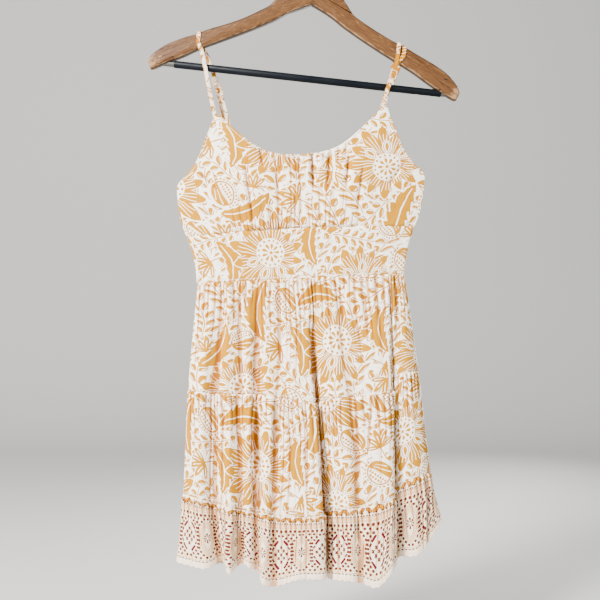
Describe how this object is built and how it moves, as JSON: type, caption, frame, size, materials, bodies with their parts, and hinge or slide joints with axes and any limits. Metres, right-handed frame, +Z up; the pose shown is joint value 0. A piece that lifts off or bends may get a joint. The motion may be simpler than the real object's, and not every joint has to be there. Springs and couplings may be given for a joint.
{
  "type": "sundress on a hanger",
  "caption": "Short sleeveless sundress with thin adjustable straps, a gathered bodice and a tiered skirt with a printed hem band, hung on a wooden hanger with a trouser bar.",
  "frame": {"origin": "inner crest of the hanger's hook, where a rail or a wall hook carries it", "axes": "+X to the right as the dress is seen from the front, -Y towards the front of the dress, +Z up"},
  "size_m": [0.4457, 0.0783, 0.9465],
  "materials": {
    "printed_cloth": "matt woven cloth with a golden-orange flower print",
    "border_cloth": "matt woven cloth with a peach, rust and crimson border print",
    "strap_cloth": "matt woven cloth, sewn as a narrow tube",
    "slider_plastic": "cream, smooth",
    "hanger_wood": "worn satin varnish",
    "hook_wire": "plated, a little dulled",
    "bar_steel": "dull grey",
    "bar_sleeve": "near-black tube with a soft shine"
  },
  "bodies": {
    "root": {"front_upper_bodice": "printed_cloth", "front_midriff": "printed_cloth", "front_upper_tier": "printed_cloth", "front_lower_tier": "printed_cloth", "front_hem_band": "border_cloth", "back_upper_bodice": "printed_cloth", "back_midriff": "printed_cloth", "back_upper_tier": "printed_cloth", "back_lower_tier": "printed_cloth", "back_hem_band": "border_cloth", "left_strap": "strap_cloth", "left_strap_loop": "strap_cloth", "left_slider": "slider_plastic", "right_strap": "strap_cloth", "right_strap_loop": "strap_cloth", "right_slider": "slider_plastic", "hanger_left_arm": "hanger_wood", "hanger_right_arm": "hanger_wood", "hanger_hook": "hook_wire", "trouser_bar": "bar_steel", "trouser_bar_sleeve": "bar_sleeve"}
  },
  "joints": []
}
